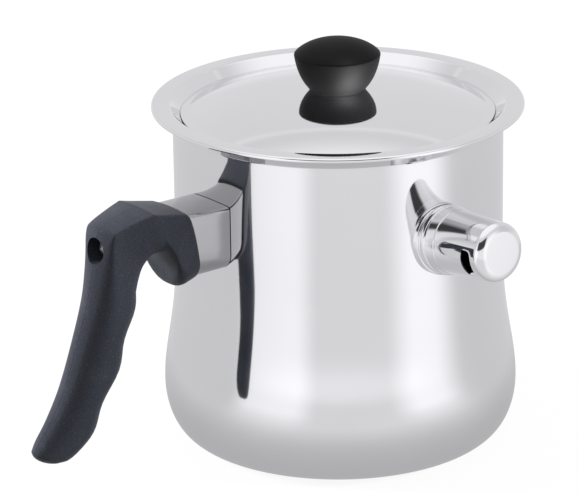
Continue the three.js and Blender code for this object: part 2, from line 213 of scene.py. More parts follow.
def mouldedFinish(name, look):
    v = mouldTexture
    material, shader, spot = newMaterial(name)
    along = shader.node("ShaderNodeSeparateXYZ", None, {0: spot}).at("Y")
    grain = shader.noise(spot, look["grain"], v["grainDetail"], v["grainBite"])
    pits = shader.node("ShaderNodeTexVoronoi", None, {"Vector": spot, "Scale": look["pits"]}, "Distance")
    cloud = shader.noise(spot, v["cloud"])
    speck = shader.noise(spot, look["grain"] * v["speck"], v["speckDetail"])
    rub = (
        shader.remap(cloud, *v["cloudRange"]) * v["cloudRub"]
        + shader.remap(speck, *v["speckRange"]) * v["speckRub"]
        + shader.remap(grain, *v["grainRange"]) * v["grainRub"]
    )
    roughness = (
        look["roughness"]
        + v["grainRoughness"] * (grain - noiseMiddle)
        + v["cloudRoughness"] * (cloud - noiseMiddle)
    )
    height = grain * v["grainHeight"] + pits * v["pitHeight"]
    if look["seam"]:  # the mould's parting line, along the middle of the piece
        seam = shader.remap(abs(along), look["seam"], look["seam"] * v["seamFade"], 1, 0)
        height = height + v["seamHeight"] * seam
    shader.surface(height, look["strength"], look["lift"], {
        "Base Color": shader.mixColour(rub, look["tone"], look["worn"]),
        "Roughness": roughness,
        "Specular IOR Level": look["gloss"],
    })
    return material


sealFinish = {
    "tone": (0.2, 0.205, 0.215, 1), "dust": (0.27, 0.275, 0.28, 1), "roughness": 0.6, "spread": 0.15,
    "dustScale": 120, "dustRange": (0.4, 0.75),
    "grain": 900, "grainDetail": 3, "lift": 0.00005, "strength": 0.4,
}


def siliconeFinish(name, look):
    material, shader, spot = newMaterial(name)
    grain = shader.noise(spot, look["grain"], look["grainDetail"])
    dust = shader.remap(shader.noise(spot, look["dustScale"]), *look["dustRange"])
    shader.surface(grain, look["strength"], look["lift"], {
        "Base Color": shader.mixColour(dust, look["tone"], look["dust"]),
        "Roughness": look["roughness"] + look["spread"] * grain,
    })
    return material


mirrorSteel = metalFinish("mirrorSteel", polished)
shadedGuardSteel = metalFinish("shadedGuardSteel", shadedGuardPolish)
satinSteel = metalFinish("satinSteel", satin)
paintedShadeSteel = metalFinish("paintedShadeSteel", paintedShade)
fastenerSteel = metalFinish("fastenerSteel", fastener)
brassBush = metalFinish("brassBush", insertBrass)
gripMoulding = mouldedFinish("gripMoulding", gripFinish)
knobMoulding = mouldedFinish("knobMoulding", knobFinish)
sealSilicone = siliconeFinish("sealSilicone", sealFinish)
print("finishes made")


# profile lines: points are (radius, height) in millimetres

filletRoom = 0.48  # the share of a side that one fillet may take
rolledSteps = 4  # round a sheet's free edge


def cubic(start, first, second, end, steps):
    line = []
    for i in range(1, steps + 1):
        t = i / steps
        weights = ((1 - t) ** 3, 3 * t * (1 - t) ** 2, 3 * t * t * (1 - t), t ** 3)
        pulls = list(zip(weights, (start, first, second, end)))
        line.append(tuple(sum(weight * point[k] for weight, point in pulls) for k in (0, 1)))
    return line


def quadratic(start, middle, end, steps):
    lift = [tuple(a + (b - a) * 2 / 3 for a, b in zip(edge, middle)) for edge in (start, end)]
    return cubic(start, *lift, end, steps)


def straight(start, end, steps):
    return [tuple(a + (b - a) * i / steps for a, b in zip(start, end)) for i in range(1, steps + 1)]


def swing(centre, arm, spin):  # where the arm's end comes to when it turns round the centre
    return (
        centre.x + arm.x * math.cos(spin) - arm.y * math.sin(spin),
        centre.y + arm.x * math.sin(spin) + arm.y * math.cos(spin),
    )


def rounded(corners, steps=6):  # corners are (radius, height, fillet)
    line = []
    for i, corner in enumerate(corners):
        here = Vector(corner[:2])
        fillet = corner[2] if len(corner) > 2 else 0
        if fillet == 0 or i in (0, len(corners) - 1):
            line.append(tuple(here))
            continue
        back = Vector(corners[i - 1][:2]) - here
        on = Vector(corners[i + 1][:2]) - here
        half = back.angle(on) / 2
        reach = min(fillet / math.tan(half), back.length * filletRoom, on.length * filletRoom)
        fillet = reach * math.tan(half)
        back.normalize()
        on.normalize()
        centre = here + (back + on).normalized() * fillet / math.sin(half)
        first = here + back * reach - centre
        turn = first.angle_signed(here + on * reach - centre)
        line += [swing(centre, first, -turn * k / steps) for k in range(steps + 1)]
    return line


def offsetLine(line, distance):  # moved to its left, with mitred corners
    points = [Vector(point) for point in line]
    sides = []
    for a, b in zip(points, points[1:]):
        along = (b - a).normalized()
        sides.append(Vector((-along.y, along.x)))
    moved = []
    for i, point in enumerate(points):
        before, after = sides[max(i - 1, 0)], sides[min(i, len(sides) - 1)]
        mitre = (before + after).normalized()
        moved.append(tuple(point + mitre * (distance / mitre.dot(after))))
    return moved


def sheetLine(line, thickness):  # the closed outline of a pressed sheet, its free edge rolled round
    other = offsetLine(line, thickness)
    centre = (Vector(line[-1]) + Vector(other[-1])) / 2
    arm = Vector(line[-1]) - centre
    half = math.copysign(math.pi, thickness)
    edge = [swing(centre, arm, half * k / rolledSteps) for k in range(1, rolledSteps)]
    return line + edge + other[::-1]


def softCorner(first, second, fillet):  # two lines that meet at a corner, joined by a small round
    return first[:-3] + rounded([first[-3], (*first[-1], fillet), second[2]]) + second[3:]


# turned pieces: one geometry tree turns a profile round the Z axis

def makeTurnedTree():
    group = bpy.data.node_groups.new("turnedPiece", "GeometryNodeTree")
    face = group.interface
    inputs = {"Profile": "Geometry", "Sides": "Int", "Crease": "Float", "Finish": "Material"}
    for name, kind in inputs.items():
        face.new_socket(name, in_out="INPUT", socket_type="NodeSocket" + kind)
    face.new_socket("Piece", in_out="OUTPUT", socket_type="NodeSocketGeometry")
    tree = NodeTree(group)
    start = tree.node("NodeGroupInput", output="Profile")
    sides = start.at("Sides")
    count = tree.node(
        "GeometryNodeAttributeDomainSize", {"component": "MESH"}, {"Geometry": start}, "Point Count",
    )
    perRow = sides + 1
    grid = tree.node("GeometryNodeMeshGrid", None, {"Vertices X": count, "Vertices Y": perRow}, "Mesh")
    index = tree.node("GeometryNodeInputIndex")
    row = index.maths("FLOOR", (index + 0.5) / perRow)
    angle = (index - row * perRow) / sides * (2 * math.pi)
    place = tree.node("GeometryNodeInputPosition")
    sample = tree.node(
        "GeometryNodeSampleIndex", {"data_type": "FLOAT_VECTOR"},
        {"Geometry": start, "Value": place, "Index": row}, "Value",
    )
    point = tree.node("ShaderNodeSeparateXYZ", None, {0: sample})
    swung = tree.node("ShaderNodeCombineXYZ", None, {
        "X": point.at("X") * angle.maths("COSINE", angle),
        "Y": point.at("X") * angle.maths("SINE", angle),
        "Z": point.at("Z"),
    })
    shape = tree.node("GeometryNodeSetPosition", None, {"Geometry": grid, "Position": swung})
    shape = tree.node("GeometryNodeMergeByDistance", None, {"Geometry": shape, "Distance": sliver})
    smooth = {"Geometry": shape, "Shade Smooth": True}
    shape = tree.node("GeometryNodeSetShadeSmooth", {"domain": "FACE"}, smooth)
    bend = tree.node("GeometryNodeInputMeshEdgeAngle", output="Unsigned Angle")
    hard = {"Geometry": shape, "Selection": bend > start.at("Crease"), "Shade Smooth": False}
    shape = tree.node("GeometryNodeSetShadeSmooth", {"domain": "EDGE"}, hard)
    shape = tree.node("GeometryNodeRealizeInstances", None, {"Geometry": shape})
    shape = tree.node("GeometryNodeSetMaterial", None, {"Geometry": shape, "Material": start.at("Finish")})
    tree.node("NodeGroupOutput", None, {"Piece": shape})
    return group


turnedTree = makeTurnedTree()
turnedInputs = {
    item.name: item.identifier for item in turnedTree.interface.items_tree if item.in_out == "INPUT"
}
onAxis = 1e-6  # a profile's end within this radius, in millimetres, is on the axis


def bakedMesh(carrier):
    scene.view_layers[0].update()
    live = carrier.evaluated_get(bpy.context.evaluated_depsgraph_get())
    return bpy.data.meshes.new_from_object(live)


def faceOutwards(mesh):
    shape = bmesh.new()
    shape.from_mesh(mesh)
    bmesh.ops.recalc_face_normals(shape, faces=shape.faces)
    shape.to_mesh(mesh)
    shape.free()


def addPiece(name, mesh, place):
    mesh.transform(place)
    faceOutwards(mesh)
    mesh.name = name
    piece = bpy.data.objects.new(name, mesh)
    scene.collection.objects.link(piece)
    return piece


def turnedPiece(name, line, finish, sides, place=Matrix.Identity(4)):
    if line[0][0] > onAxis or line[-1][0] > onAxis:
        line = line + line[:1]
    profile = bpy.data.meshes.new(name + "Profile")
    points = [(radius * mm, 0, height * mm) for radius, height in line]
    profile.from_pydata(points, [(i, i + 1) for i in range(len(points) - 1)], [])
    carrier = bpy.data.objects.new(name + "Carrier", profile)
    scene.collection.objects.link(carrier)
    turn = carrier.modifiers.new("turn", "NODES")
    turn.node_group = turnedTree
    turn[turnedInputs["Sides"]] = sides
    turn[turnedInputs["Crease"]] = crease
    turn[turnedInputs["Finish"]] = finish
    mesh = bakedMesh(carrier)
    bpy.data.objects.remove(carrier)
    bpy.data.meshes.remove(profile)
    return addPiece(name, mesh, place)


# lofted pieces: rings of equally many points, each (out, across, up) in millimetres

def softEdges(piece):  # also takes out the slivers that a cut leaves
    shape = bmesh.new()
    shape.from_mesh(piece.data)
    bmesh.ops.remove_doubles(shape, verts=shape.verts, dist=sliver)
    bmesh.ops.dissolve_degenerate(shape, dist=sliver, edges=shape.edges)
    for part in shape.faces:
        part.smooth = True
    for edge in shape.edges:
        edge.smooth = len(edge.link_faces) != 2 or edge.calc_face_angle(0) < crease
    shape.to_mesh(piece.data)
    shape.free()


def loftedPiece(name, rings, finish, place, looped=False):
    count = len(rings[0])
    points = [tuple(mm * x for x in point) for ring in rings for point in ring]
    faces = []
    for k in range(len(rings) if looped else len(rings) - 1):
        low, high = k * count, (k + 1) % len(rings) * count
        for i in range(count):
            on = (i + 1) % count
            faces.append((low + i, low + on, high + on, high + i))
    if not looped:  # a fan closes each end
        for first in (0, (len(rings) - 1) * count):
            middle = sum((Vector(points[first + i]) for i in range(count)), Vector()) / count
            points.append(tuple(middle))
            for i in range(count):
                faces.append((first + i, first + (i + 1) % count, len(points) - 1))
    mesh = bpy.data.meshes.new(name)
    mesh.from_pydata(points, [], faces)
    mesh.materials.append(finish)
    piece = addPiece(name, mesh, place)
    softEdges(piece)
    return piece


def cutAway(piece, *cutters):
    for cutter in cutters:
        cut = piece.modifiers.new("cut", "BOOLEAN")
        cut.operation = "DIFFERENCE"
        cut.solver = "EXACT"
        cut.object = cutter
    mesh = bakedMesh(piece)
    piece.modifiers.clear()
    old = piece.data
    piece.data = mesh
    mesh.name = old.name + "Cut"
    bpy.data.meshes.remove(old)
    for cutter in cutters:
        bpy.data.objects.remove(cutter)
    softEdges(piece)


barSides = 64


def barCutter(radius, low, high, place):
    line = [(0, low), (radius, low), (radius, high), (0, high)]
    return turnedPiece("barCutter", line, fastenerSteel, barSides, place)


def settle(piece, body, slot, *standsFor):
    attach(piece, body)
    if standsFor:
        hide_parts(*standsFor)
    print("piece:", piece.name, len(piece.data.polygons), "faces")


def repaint(piece, finish, test):  # a second finish on the faces that pass a test of centre and normal
    piece.data.materials.append(finish)
    index = len(piece.data.materials) - 1
    for part in piece.data.polygons:
        if test(part.center / mm, part.normal):
            part.material_index = index


# vessels

vessel = {
    "height": 148.2, "sheet": 0.8, "wall": 70.7, "base": 63,
    "belly": 76.7, "bellyHeight": 23, "shoulder": 86,
    "baseEase": 0.62, "cornerEase": 0.52, "bellyEase": 0.27, "shoulderEase": 0.54,
    "flareStart": 2, "flareRise": 5.6, "flareRun": 3.8, "flareBend": 1.4,
    "lip": 79.7, "hem": 0.6, "hemGap": 0.3,
    "baseSteps": 10, "cornerSteps": 26, "waistSteps": 34, "wallSteps": 20, "flareSteps": 8, "sides": 176,
}
lining = {
    "radius": 64.5, "floor": 12, "floorCorner": 12, "seat": 67.2, "seatHeight": 143.2, "ring": 7.4,
    "seatRun": 6, "seatFoot": 0.5, "seatFillet": 1.1, "ringFillet": 1.6, "hemFillet": 0.35, "satinDrop": 1.5,
    "floorSteps": 10, "cornerSteps": 14, "wallSteps": 12, "rimSteps": 7, "sides": 176,
}
neckSeat = {"turn": 268, "tilt": 6.1, "height": 104.9, "hole": 10.7, "cut": 10}  # the neck at the wall
flangeUnder = vessel["height"] - 2 * vessel["sheet"]
hemInner = vessel["lip"] - vessel["sheet"]
neckAngle = math.radians(neckSeat["turn"])
neckTilt = math.radians(neckSeat["tilt"])
neckSpot = Vector((
    vessel["wall"] * math.cos(neckAngle),
    vessel["wall"] * math.sin(neckAngle),
    neckSeat["height"],
)) * mm
neckPlace = (
    Matrix.Translation(neckSpot)
    @ Matrix.Rotation(neckAngle, 4, "Z")
    @ Matrix.Rotation(math.pi / 2 - neckTilt, 4, "Y")
)


def outerVesselLine():
    v = vessel
    rise = v["shoulder"] - v["bellyHeight"]
    wall, belly = v["wall"], v["belly"]
    line = [(0, 0)] + straight((0, 0), (v["base"], 0), v["baseSteps"])
    line += cubic(
        line[-1], (v["base"] + v["baseEase"] * (belly - v["base"]), 0),
        (belly, (1 - v["cornerEase"]) * v["bellyHeight"]), (belly, v["bellyHeight"]), v["cornerSteps"],
    )
    line += cubic(
        line[-1], (belly, v["bellyHeight"] + v["bellyEase"] * rise),
        (wall, v["shoulder"] - v["shoulderEase"] * rise), (wall, v["shoulder"]), v["waistSteps"],
    )
    bend = flangeUnder - v["flareRise"]
    line += straight(line[-1], (wall, bend - v["flareStart"]), v["wallSteps"])
    return line + rounded([
        line[-1],
        (wall, bend, v["flareBend"]),
        (wall + v["flareRun"], flangeUnder, v["flareBend"]),
        (hemInner - v["hemGap"], flangeUnder),
    ], v["flareSteps"])[1:]


outerSheet = sheetLine(outerVesselLine(), vessel["sheet"])
outerVessel = turnedPiece("outerVessel", outerSheet, mirrorSteel, vessel["sides"])
cutAway(outerVessel, barCutter(neckSeat["hole"], -neckSeat["cut"], neckSeat["cut"], neckPlace))
settle(outerVessel, "pot", "polished_steel", "outer_vessel")


def innerVesselLine():
    v = lining
    under = vessel["height"] - vessel["sheet"]
    seatUnder = v["seatHeight"] - vessel["sheet"]
    corner = v["floor"] + v["floorCorner"]
    flat = (v["radius"] - v["floorCorner"], v["floor"])
    line = [(0, v["floor"])] + straight((0, v["floor"]), flat, v["floorSteps"])
    line += quadratic(line[-1], (v["radius"], v["floor"]), (v["radius"], corner), v["cornerSteps"])
    line += straight(line[-1], (v["radius"], seatUnder - v["seatRun"]), v["wallSteps"])
    return line + rounded([
        (v["radius"], seatUnder - v["seatRun"]),
        (v["radius"], seatUnder, v["seatFoot"]),
        (v["seat"], seatUnder, v["seatFillet"]),
        (vessel["lip"] - v["ring"], under, v["ringFillet"]),
        (hemInner, under, v["hemFillet"]),
        (hemInner, under - vessel["hem"]),
    ], v["rimSteps"])[1:]


innerSheet = sheetLine(innerVesselLine(), vessel["sheet"])
innerVessel = turnedPiece("innerVessel", innerSheet, mirrorSteel, lining["sides"])
repaint(innerVessel, satinSteel, lambda spot, normal: spot.z < lining["seatHeight"] - lining["satinDrop"])
settle(innerVessel, "pot", "polished_steel", "inner_vessel")


# lid

lid = {
    "under": 152.2, "rise": 8.7, "bore": 2.3, "pad": 12, "radius": 66.8, "brim": 2.9, "brimFillet": 5,
    "padSteps": 5, "domeSteps": 48, "sides": 176,
}
knob = {
    "base": 153, "foot": 11.2, "footFillet": 0.6, "footRun": 1.2, "footRise": 1.02, "radius": 18.5,
    "cheek": 1.5, "cheekHeight": 5.1, "cheekGap": 0.2, "side": 15.8, "rimFillet": 1,
    "crownIn": 2, "crownSide": 2.4, "crownReach": 10.5, "height": 22.2,
    "bore": 4.3, "boreDepth": 10.3, "boreFillet": 0.3, "mouthFillet": 0.4,
    "footSteps": 4, "cheekSteps": 24, "crownSteps": 26, "sides": 128,
}


def lidLine():
    v = lid
    start = v["radius"] - v["brim"]
    low = v["under"] - v["rise"]
    line = [(v["bore"], v["under"])]
    line += straight(line[-1], (v["pad"], v["under"]), v["padSteps"])
    dome = quadratic(line[-1], ((v["pad"] + start) / 2, v["under"]), (start, low), v["domeSteps"])
    return line + dome[:-1] + rounded([dome[-2], (start, low, v["brimFillet"]), (v["radius"], low)])[1:]


def knobLine():
    v = knob
    side = v["base"] + v["side"]
    top = v["base"] + v["height"]
    line = rounded([
        (0, v["base"] + v["boreDepth"]),
        (v["bore"], v["base"] + v["boreDepth"], v["boreFillet"]),
        (v["bore"], v["base"], v["mouthFillet"]),
        (v["foot"], v["base"], v["footFillet"]),
        (v["foot"] + v["footRun"], v["base"] + v["footRise"]),
    ], v["footSteps"])
    bulge = (v["radius"] - v["cheek"], v["base"] + v["cheekHeight"])
    cheek = quadratic((v["foot"], v["base"]), bulge, (v["radius"], side), v["cheekSteps"])
    line += [point for point in cheek if point[1] > line[-1][1] + v["cheekGap"]]
    crown = cubic(
        line[-1], (v["radius"] - v["crownIn"], side + v["crownSide"]), (v["crownReach"], top), (0, top),
        v["crownSteps"],
    )
    return softCorner(line, crown, v["rimFillet"])


lidPlate = turnedPiece("lidPlate", sheetLine(lidLine(), vessel["sheet"]), mirrorSteel, lid["sides"])
settle(lidPlate, "lid", "polished_steel", "lid_plate")
lidKnob = turnedPiece("lidKnob", knobLine(), knobMoulding, knob["sides"])
settle(lidKnob, "lid", "moulding", "lid_knob")


# filler neck and whistle, along the neck's own Z axis

neck = {
    "bore": 9.6, "radius": 10.4, "length": 18, "inside": 3, "edge": 0.38, "innerEdge": 0.2,
    "steps": 5, "sides": 112,
}
collar = {
    "bore": 10.5, "radius": 15.2, "step": 14.4, "height": 2.4, "topEdge": 0.35, "back": -2.2,
    "lipHeight": 1.2, "lipEdge": 0.55, "stepRise": 0.2, "stepFillet": 0.2, "steps": 5, "sides": 144,
    "sink": 0.3, "backBand": 0.02, "rimBand": 0.1, "seatTries": 4,
}
whistle = {
    "base": 2.7, "sheet": 0.7, "ring": 14.8, "ringHeight": 1.8, "ringEdge": 0.6, "root": 14,
    "rootRise": 0.4, "rootFillet": 0.25, "band": 5.2, "bandStep": 0.22, "bandFall": 0.3, "bandFillet": 0.4,
    "bandLead": 1, "bandStop": 1.2, "end": 12.5, "length": 35, "endRound": 3.6, "endFlat": 8.9,
    "endFillet": 0.3, "endPull": 1.7, "endDrop": 0.4, "sidePull": 1.8,
    "faceSteps": 12, "endSteps": 18, "sideSteps": 60, "bandSteps": 5, "sides": 192,
}
louvre = {
    "height": 24.6, "turn": 15, "half": 5.9, "width": 2.3, "lowShare": 0.55,
    "slitEase": 0.75, "slitSteps": 48, "slitReach": (-20, -8),
    "ramp": 4.6, "depth": 5, "rampEase": 1.4, "sideEase": 0.7, "core": 6,
}
capInside = {"endGap": 1, "facing": -0.7, "above": 20}
seal = {
    "low": 5.3, "length": 12, "bore": 10.7, "gap": 1, "edge": 0.3,
    "ribs": 3, "rib": 0.2, "ribHalf": 1, "ribFillet": 0.5, "steps": 3, "sides": 96,
}


def neckLine():
    v = neck
    return rounded([
        (v["bore"], -v["inside"]),
        (v["radius"], -v["inside"], v["innerEdge"]),
        (v["radius"], v["length"], v["edge"]),
        (v["bore"], v["length"], v["edge"]),
        (v["bore"], -v["inside"]),
    ], v["steps"])[:-1]


def collarLine():
    v = collar
    return rounded([
        (v["bore"], v["back"]),
        (v["radius"], v["back"]),
        (v["radius"], v["lipHeight"], v["lipEdge"]),
        (v["step"], v["lipHeight"] + v["stepRise"], v["stepFillet"]),
        (v["step"], v["height"], v["topEdge"]),
        (v["bore"], v["height"]),
    ], v["steps"])


def seatOnWall(piece):  # the collar's back follows the round wall, just inside its face
    v = collar
    inverse = neckPlace.inverted()
    out = neckPlace.to_3x3() @ Vector((0, 0, 1))
    for point in piece.data.vertices:
        local = inverse @ point.co / mm
        atBack = abs(local.z - v["back"]) < v["backBand"]
        if atBack and math.hypot(local.x, local.y) > v["radius"] - v["rimBand"]:
            for _ in range(v["seatTries"]):
                point.co += out * ((vessel["wall"] - v["sink"]) * mm - point.co.xy.length)


fillerNeck = turnedPiece("fillerNeck", neckLine(), mirrorSteel, neck["sides"], neckPlace)
settle(fillerNeck, "pot", "polished_steel", "filler_neck")
neckCollar = turnedPiece("neckCollar", collarLine(), mirrorSteel, collar["sides"], neckPlace)
seatOnWall(neckCollar)
settle(neckCollar, "pot", "polished_steel", "neck_collar")


def capRadius(height):
    share = (height - whistle["base"]) / (whistle["length"] - whistle["endRound"])
    return whistle["root"] + (whistle["end"] - whistle["root"]) * share


def capLine():  # from the middle of the end to the free edge
    v = whistle
    top = v["base"] + v["length"]
    side = top - v["endRound"]
    ringTop = v["base"] + v["ringHeight"]
    bandEnd = ringTop + v["band"]
    face = [(0, top)] + straight((0, top), (v["endFlat"], top), v["faceSteps"])
    shoulder = cubic(
        face[-1], (v["endFlat"] + v["endPull"], top - v["endDrop"]), (v["end"], side + v["sidePull"]),
        (v["end"], side), v["endSteps"],
    )
    line = softCorner(face, shoulder, v["endFillet"])
    line += straight(line[-1], (capRadius(bandEnd + v["bandLead"]), bandEnd + v["bandStop"]), v["sideSteps"])
    return line + rounded([
        line[-1],
        (capRadius(bandEnd), bandEnd + v["bandFall"], v["bandFillet"]),
        (capRadius(bandEnd) + v["bandStep"], bandEnd, v["bandFillet"]),
        (capRadius(ringTop) + v["bandStep"], ringTop + v["rootRise"], v["rootFillet"]),
        (v["ring"], ringTop, v["ringEdge"]),
        (v["ring"], v["base"]),
    ], v["bandSteps"])[1:]


louvrePlace = neckPlace @ Matrix.Rotation(math.radians(louvre["turn"]), 4, "Z")
louvreMouth = whistle["base"] + louvre["height"]


def pressRamp(piece):  # the sheet sinks from the end towards the slit
    v = louvre
    inverse = louvrePlace.inverted()
    for point in piece.data.vertices:
        local = inverse @ point.co / mm
        radius = math.hypot(local.x, local.y)
        if local.y > 0 or radius < v["core"]:
            continue
        across = radius * math.atan2(local.x, -local.y) / v["half"]
        rise = (local.z - louvreMouth) / v["ramp"]
        if abs(across) < 1 and 0 <= rise < 1:
            sink = v["depth"] * (1 - rise) ** v["rampEase"] * (1 - across * across) ** v["sideEase"]
            local.x *= 1 - sink / radius
            local.y *= 1 - sink / radius
            point.co = louvrePlace @ (local * mm)


def slitCutter():
    v = louvre
    outline = []
    for i in range(v["slitSteps"]):
        turn = 2 * math.pi * i / v["slitSteps"]
        across = math.cos(turn)
        lift = math.copysign((1 - across * across) ** v["slitEase"], math.sin(turn))
        outline.append((v["half"] * across, v["width"] * max(lift, lift * v["lowShare"]) + louvreMouth))
    rings = [[(x, y, z) for x, z in outline] for y in v["slitReach"]]
    return loftedPiece("slitCutter", rings, paintedShadeSteel, louvrePlace)


capSheet = sheetLine(capLine(), -whistle["sheet"])
whistleCap = turnedPiece("whistleCap", capSheet, mirrorSteel, whistle["sides"], neckPlace)
pressRamp(whistleCap)
cutAway(whistleCap, slitCutter())
neckBack = neckPlace.inverted()
neckTurn = neckPlace.to_3x3().inverted()


def insideCap(spot, normal):  # its bore, and the underside of its end, painted dark as shade in the hollow
    local = neckBack @ (spot * mm) / mm
    facing = neckTurn @ normal
    inBore = local.z < whistle["base"] + whistle["length"] - capInside["endGap"]
    inwards = facing.x * local.x + facing.y * local.y < 0
    return inBore and inwards or facing.z < capInside["facing"] and local.z > capInside["above"]


# the cap's inside takes the near-black finish: painted shade
repaint(whistleCap, paintedShadeSteel, insideCap)
settle(whistleCap, "whistle", "polished_steel", "whistle_cap")


def sealLine():
    v = seal
    high = v["low"] + v["length"]
    corners = [
        (v["bore"], v["low"]),
        (capRadius(v["low"]) - v["gap"], v["low"], v["edge"]),
        (capRadius(high) - v["gap"], high, v["edge"]),
        (v["bore"], high, v["edge"]),
    ]
    pitch = v["length"] / v["ribs"]
    for i in range(v["ribs"]):  # sealing ribs in the bore
        middle = high - pitch * (i + 0.5)
        corners += [
            (v["bore"], middle + v["ribHalf"]),
            (v["bore"] - v["rib"], middle, v["ribFillet"]),
            (v["bore"], middle - v["ribHalf"]),
        ]
    return rounded(corners, v["steps"])


whistleSeal = turnedPiece("whistleSeal", sealLine(), sealSilicone, seal["sides"], neckPlace)
settle(whistleSeal, "seal", "silicone", "whistle_seal")


# handle: out from the wall along X, the screw on the X axis

handleHeight = 111.2
handleSpot = Vector((-vessel["wall"], 0, handleHeight)) * mm
handlePlace = Matrix.Translation(handleSpot) @ Matrix.Rotation(math.pi, 4, "Z")
wallSection = {"inner": (0, -20.4), "outer": (0, 8.7), "half": 12.6, "crown": 0.9, "corner": 7, "ridge": 1.7}
sectionWidths = ("half", "crown", "corner", "ridge")
sectionSteps = {"crown": 8, "ridge": 6, "flank": 5, "corner": 9, "under": 3}
leastCorner = 0.5
guard = {  # outside and inside are shares of the way from the wall to the grip
    "gap": 0.3, "sheet": 1.2, "edge": 0.15, "edgeTurns": (0, 0.5, 1), "tuck": 0.9, "embed": -0.3,
    "outside": (0.12, 0.25, 0.4, 0.55, 0.7, 0.85, 0.96), "inside": (1, 0.5, 0.1),
}
grip = {
    "reach": 94.7, "drop": 87.3, "half": 12.9, "steps": 6, "edge": 0.7, "edgeTurns": (1, 0.75, 0.5, 0.25),
    "bow": 1.6, "bowEase": 2.5, "bowStations": 2, "tip": 2.6, "tipTurn": 0.72, "tipSteps": 8, "tipLeft": 0.4,
    "fingerDepth": 1.1, "fingerPitch": 25, "fingerStart": -20.8, "fingerFade": 8,
    "seat": 51.1, "well": 5.5, "wellReach": 40, "bore": 2.8, "boreStart": 10, "boreReach": 10,
    "stations": [  # inner rail, outer rail, half width, crown, lower corner, ridge
        ((0.16, -0.256), (0.217, 0.12), 1, 0.09, 0.84, 0.18),
        ((0.243, -0.27), (0.285, 0.137), 1, 0.09, 0.86, 0.13),
        ((0.27, -0.166), (0.351, 0.153), 0.98, 0.09, 0.86, 0.08),
        ((0.303, -0.1), (0.388, 0.163), 0.967, 0.09, 0.8, 0.06),
        ((0.322, -0.076), (0.404, 0.167), 0.96, 0.09, 0.74, 0.06),
        ((0.342, -0.07), (0.42, 0.1635), 0.945, 0.092, 0.68, 0.06),
        ((0.375, -0.071), (0.475, 0.151), 0.88, 0.1, 0.6, 0.065),
        ((0.416, -0.114), (0.579, 0.119), 0.77, 0.12, 0.54, 0.07),
        ((0.426, -0.133), (0.607, 0.104), 0.75, 0.14, 0.54, 0.08),
        ((0.434, -0.153), (0.622, 0.076), 0.74, 0.17, 0.54, 0.12),
        ((0.45, -0.206), (0.642, -0.04), 0.74, 0.23, 0.54, 0.22),
        ((0.477, -0.312), (0.681, -0.237), 0.78, 0.33, 0.54, 0.34),
        ((0.544, -0.521), (0.748, -0.444), 0.8, 0.39, 0.54, 0.42),
        ((0.648, -0.739), (0.826, -0.652), 0.78, 0.38, 0.52, 0.44),
        ((0.74, -0.898), (0.907, -0.798), 0.71, 0.34, 0.46, 0.42),
        ((0.834, -0.982), (0.968, -0.88), 0.59, 0.28, 0.39, 0.34),
        ((0.893, -0.99), (0.993, -0.918), 0.44, 0.21, 0.29, 0.25),
    ],
}


def sectionRing(shape):  # a crowned top between two soft ridges, flat flanks and round lower corners
    steps = sectionSteps
    inner, outer = Vector(shape["inner"]), Vector(shape["outer"])
    up = outer - inner
    height = up.length
    up.normalize()
    half, crown, corner, ridge = (shape[key] for key in sectionWidths)
    topShare = 1 - ridge / half
    edge = (half, height - crown)
    ridgeTop = (half * topShare, height - crown * topShare ** 2)
    ridgeLow = (half, height - crown - ridge)
    right = []
    for k in range(steps["crown"]):
        rise = height - crown * (topShare * k / steps["crown"]) ** 2
        right.append((half * topShare * k / steps["crown"], rise))
    right.append(ridgeTop)
    right += quadratic(ridgeTop, edge, ridgeLow, steps["ridge"])
    right += straight(ridgeLow, (half, corner), steps["flank"])
    for k in range(1, steps["corner"] + 1):
        turn = math.pi / 2 * k / steps["corner"]
        right.append((half - corner + corner * math.cos(turn), corner - corner * math.sin(turn)))
    right += straight(right[-1], (0, 0), steps["under"])
    outline = right + [(-across, rise) for across, rise in right[-2:0:-1]]
    return [(inner.x + up.x * rise, across, inner.y + up.y * rise) for across, rise in outline]


def mixPoint(a, b, share):
    return tuple(p + (q - p) * share for p, q in zip(a, b))


def mixShape(a, b, share):
    mixed = {key: a[key] + (b[key] - a[key]) * share for key in sectionWidths}
    for key in ("inner", "outer"):
        mixed[key] = mixPoint(a[key], b[key], share)
    return mixed


def drawnIn(shape, depth, out=0):  # a section drawn in by a wall thickness and moved outwards
    inner, outer = Vector(shape["inner"]), Vector(shape["outer"])
    up = (outer - inner).normalized() * depth
    shift = Vector((out, 0))
    moved = dict(shape)
    moved["inner"] = tuple(inner + up + shift)
    moved["outer"] = tuple(outer - up + shift)
    moved["half"] = shape["half"] - depth
    moved["corner"] = max(shape["corner"] - depth, leastCorner)
    return moved


def wallRing(near, far, embed):  # where a straight taper from near to far meets the round wall
    ring = []
    for a, b in zip(near, far):
        target = math.sqrt(vessel["wall"] ** 2 - a[1] ** 2) - vessel["wall"] - embed
        share = (target - a[0]) / (b[0] - a[0])
        ring.append(mixPoint(a, b, share))
    return ring


def station(row):
    inner, outer, *widths = row
    return {
        "inner": (inner[0] * grip["reach"], inner[1] * grip["drop"]),
        "outer": (outer[0] * grip["reach"], outer[1] * grip["drop"]),
        **{key: width * grip["half"] for key, width in zip(sectionWidths, widths)},
    }


gripStations = [station(row) for row in grip["stations"]]


def bowed(ring, share):  # swelled towards the wall at mid height, as the grip's collar is
    low = min(up for out, across, up in ring)
    high = max(up for out, across, up in ring)
    moved = []
    for out, across, up in ring:
        off = abs(2 * (up - low) / (high - low) - 1)
        moved.append((out - grip["bow"] * share ** 2 * (1 - off ** grip["bowEase"]), across, up))
    return moved


def edgeRing(shape, edge, turn, facing):  # in a rounded rim that faces the grip, 1, or the wall, -1
    angle = turn * math.pi / 2
    tuck = edge * (1 - math.cos(angle))
    return bowed(sectionRing(drawnIn(shape, tuck, facing * edge * (math.sin(angle) - 1))), 1)


